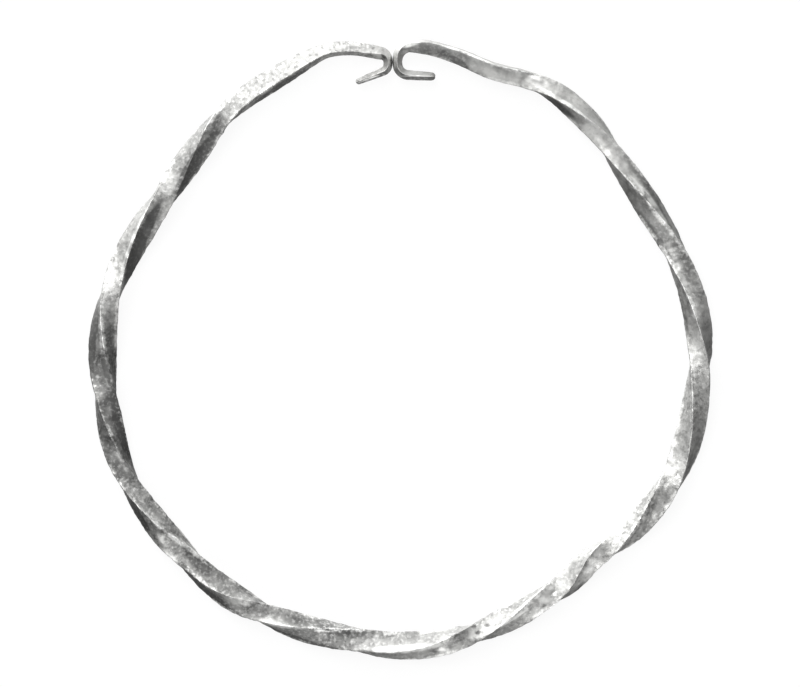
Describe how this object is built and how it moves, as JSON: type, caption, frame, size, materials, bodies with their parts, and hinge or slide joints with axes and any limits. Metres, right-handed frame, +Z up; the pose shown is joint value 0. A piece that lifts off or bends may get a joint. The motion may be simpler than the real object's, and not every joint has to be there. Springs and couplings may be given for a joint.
{
  "type": "twisted bracelet",
  "caption": "Open bracelet wrought from a twisted square bar of worn silver, its thin ends bent back into small hooks that stand back to back.",
  "frame": {"origin": "on the surface the bracelet lies on, under the middle of its outline", "axes": "+Z up out of the plane of the ring, +Y from the middle of the ring to the hooked ends, +X to the right of the picture"},
  "size_m": [0.0702, 0.0698, 0.0032],
  "materials": {
    "worn_silver": "worn, tarnished and lightly pitted silver, neutral grey, brighter on the worn ridges"
  },
  "bodies": {
    "root": {"twisted_bracelet": "worn_silver"}
  },
  "joints": []
}
